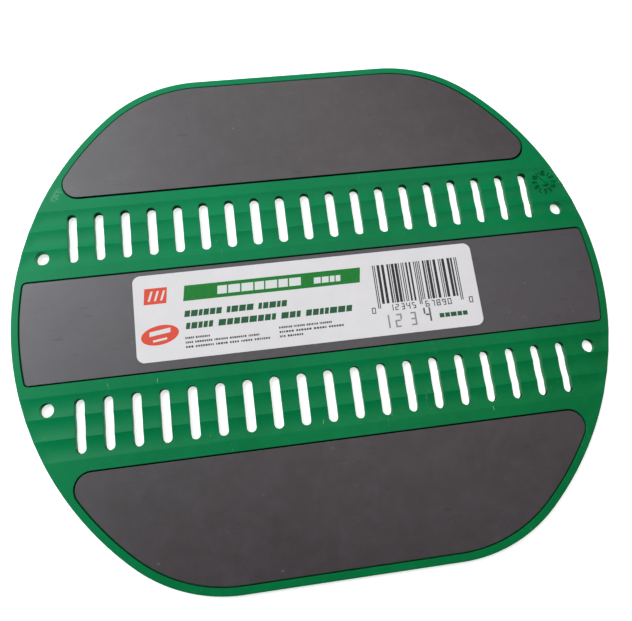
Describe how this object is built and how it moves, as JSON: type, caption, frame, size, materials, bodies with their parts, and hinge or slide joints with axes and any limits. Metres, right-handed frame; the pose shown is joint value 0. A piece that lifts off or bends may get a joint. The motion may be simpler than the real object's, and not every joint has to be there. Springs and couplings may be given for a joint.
{
  "type": "magnetic mud pan grip",
  "caption": "Flat rubber grip pad with a labelled centre magnet and magnetic flaps that fold up along slotted flexible webs on to the sides of a steel drywall mud pan.",
  "frame": {"origin": "middle of the moulding's back face, which lies on the surface when the grip is laid flat", "axes": "+X along the slotted webs, the way the mud pan runs; +Y across them towards the rear flap; +Z out of the magnet side"},
  "size_m": [0.2266, 0.1978, 0.0032],
  "materials": {
    "moulding": "green thermoplastic rubber, satin moulded surface",
    "magnet": "dark grey ferrite-filled rubber sheet, matt with faint scratches",
    "adhesive": "thin double-sided adhesive tape",
    "label": "printed off-white film, semi-gloss"
  },
  "bodies": {
    "centre": {"centre_panel": "moulding", "centre_magnet": "magnet", "centre_adhesive": "adhesive", "label": "label"},
    "rear_inner_strip": {"rear_web_inner": "moulding"},
    "rear_outer_strip": {"rear_web_outer": "moulding"},
    "rear_side": {"rear_flap": "moulding", "rear_magnet": "magnet", "rear_adhesive": "adhesive"},
    "front_inner_strip": {"front_web_inner": "moulding"},
    "front_outer_strip": {"front_web_outer": "moulding"},
    "front_side": {"front_flap": "moulding", "front_magnet": "magnet", "front_adhesive": "adhesive"}
  },
  "joints": [
    {"name": "rear_fold", "type": "hinge", "parent": "centre", "child": "rear_inner_strip", "pos_m": [0, 0.0246, 0.0032], "axis": [1, 0, 0], "range_deg": [0, 40], "stiffness_Nm_per_rad": 0.05},
    {"name": "rear_fold_middle", "type": "hinge", "parent": "rear_inner_strip", "child": "rear_outer_strip", "pos_m": [0, 0.0355, 0.0032], "axis": [1, 0, 0], "range_deg": [0, 40], "stiffness_Nm_per_rad": 0.05},
    {"name": "rear_fold_outer", "type": "hinge", "parent": "rear_outer_strip", "child": "rear_side", "pos_m": [0, 0.0464, 0.0032], "axis": [1, 0, 0], "range_deg": [0, 40], "stiffness_Nm_per_rad": 0.05},
    {"name": "front_fold", "type": "hinge", "parent": "centre", "child": "front_inner_strip", "pos_m": [0, -0.0246, 0.0032], "axis": [-1, 0, 0], "range_deg": [0, 40], "stiffness_Nm_per_rad": 0.05},
    {"name": "front_fold_middle", "type": "hinge", "parent": "front_inner_strip", "child": "front_outer_strip", "pos_m": [0, -0.0355, 0.0032], "axis": [-1, 0, 0], "range_deg": [0, 40], "stiffness_Nm_per_rad": 0.05},
    {"name": "front_fold_outer", "type": "hinge", "parent": "front_outer_strip", "child": "front_side", "pos_m": [0, -0.0464, 0.0032], "axis": [-1, 0, 0], "range_deg": [0, 40], "stiffness_Nm_per_rad": 0.05}
  ],
  "couplings": [
    {"joint": "rear_fold_middle", "follows": "rear_fold", "ratio": 1},
    {"joint": "rear_fold_outer", "follows": "rear_fold", "ratio": 1},
    {"joint": "front_fold_middle", "follows": "front_fold", "ratio": 1},
    {"joint": "front_fold_outer", "follows": "front_fold", "ratio": 1}
  ]
}
